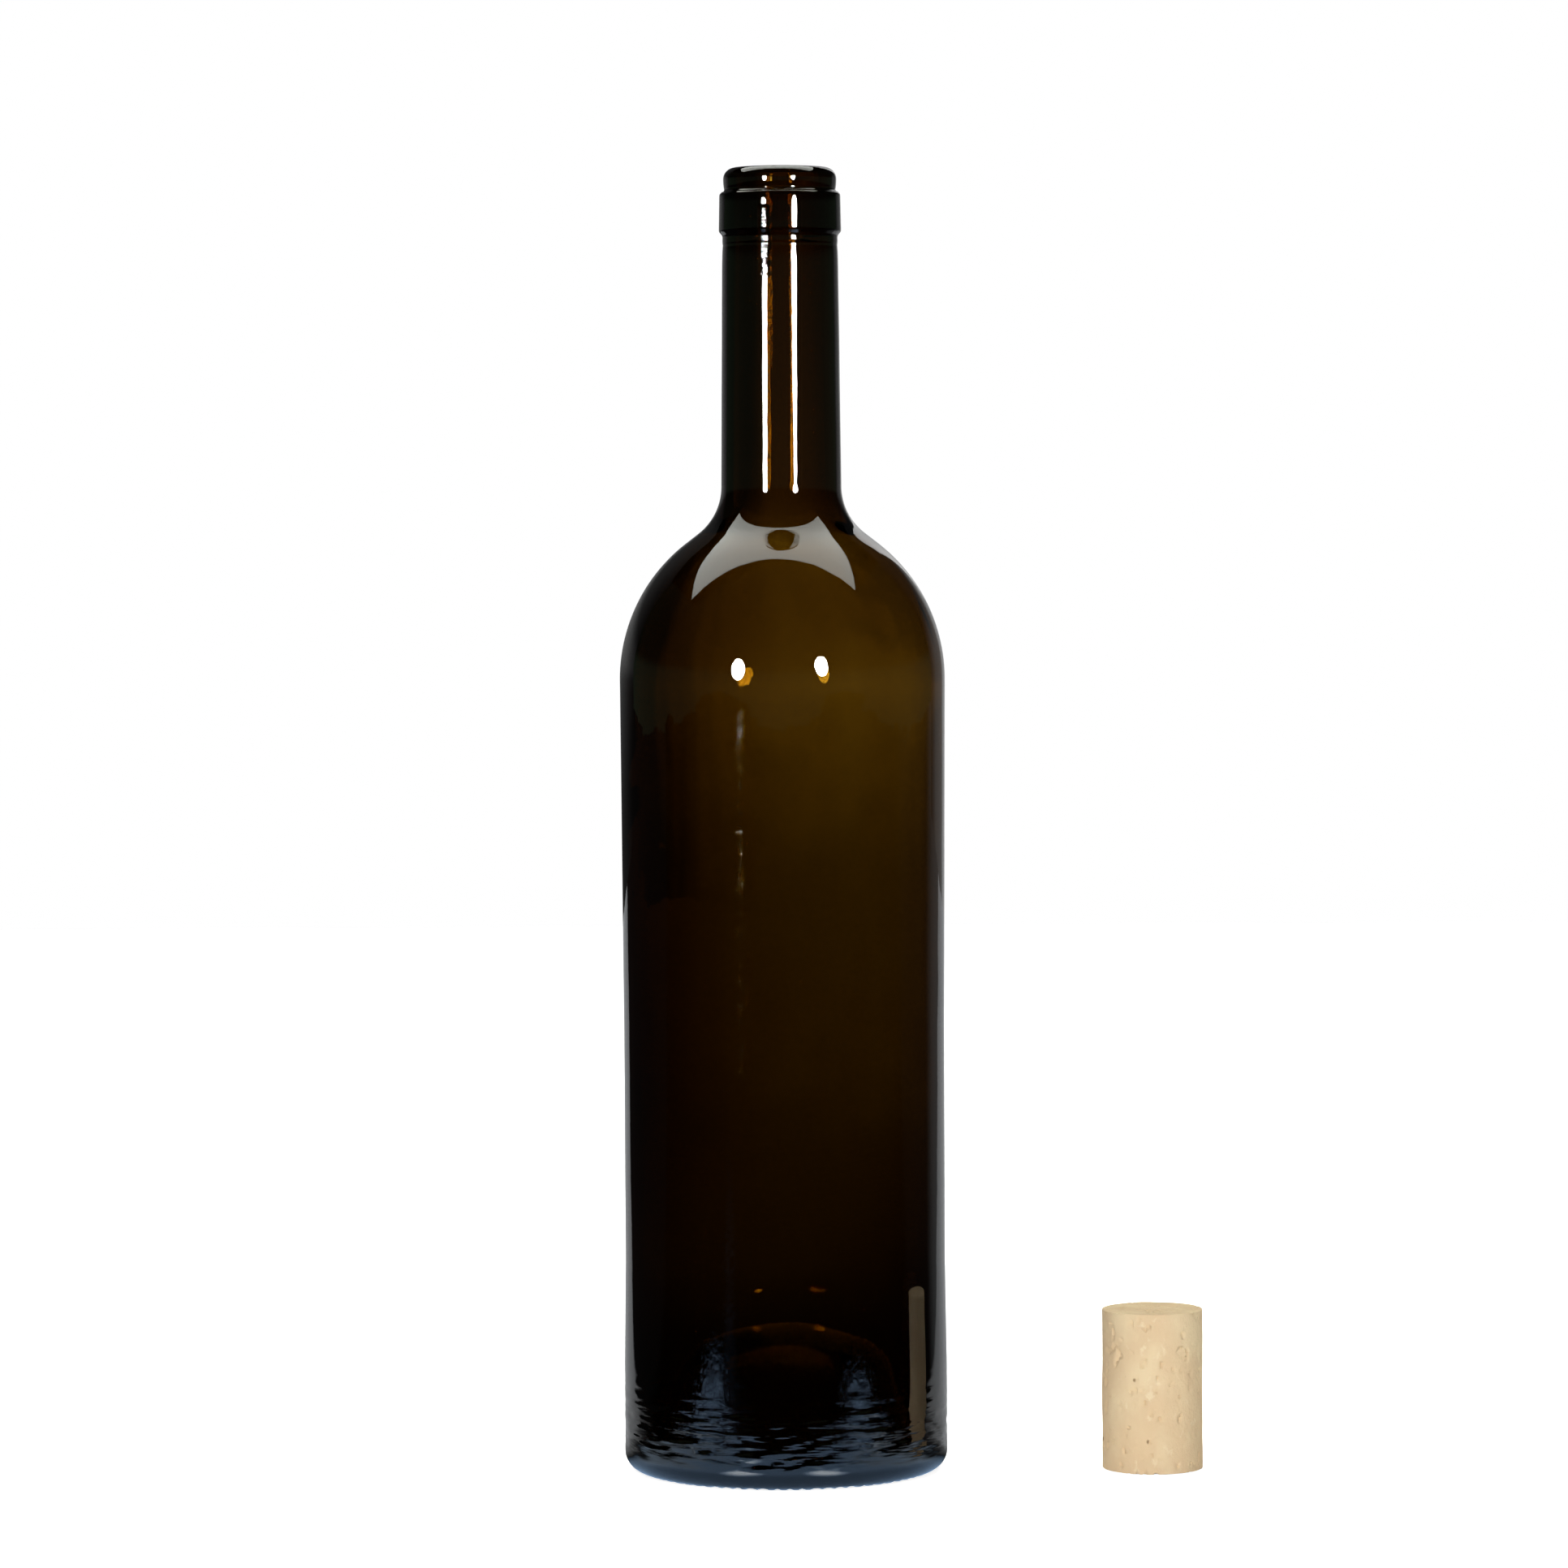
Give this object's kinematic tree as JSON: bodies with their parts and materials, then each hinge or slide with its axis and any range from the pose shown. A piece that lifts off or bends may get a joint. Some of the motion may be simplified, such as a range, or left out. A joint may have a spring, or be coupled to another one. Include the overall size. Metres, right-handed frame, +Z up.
{
  "type": "wine bottle",
  "caption": "Empty straight-sided glass wine bottle with a round shoulder, banded neck and deep punt, and its drawn cork standing beside it.",
  "frame": {"origin": "centre of the bottle's ring-shaped foot, in the plane it stands on", "axes": "+Z up along the bottle's axis to its mouth, +X from the bottle towards the cork, seen from -Y"},
  "size_m": [0.1373, 0.0768, 0.308],
  "materials": {
    "glass": "dark olive-amber bottle glass, glossy and clear",
    "cork": "natural cork, matt, with fine dark pores"
  },
  "bodies": {
    "root": {"bottle": "glass", "cork": "cork"}
  },
  "joints": []
}
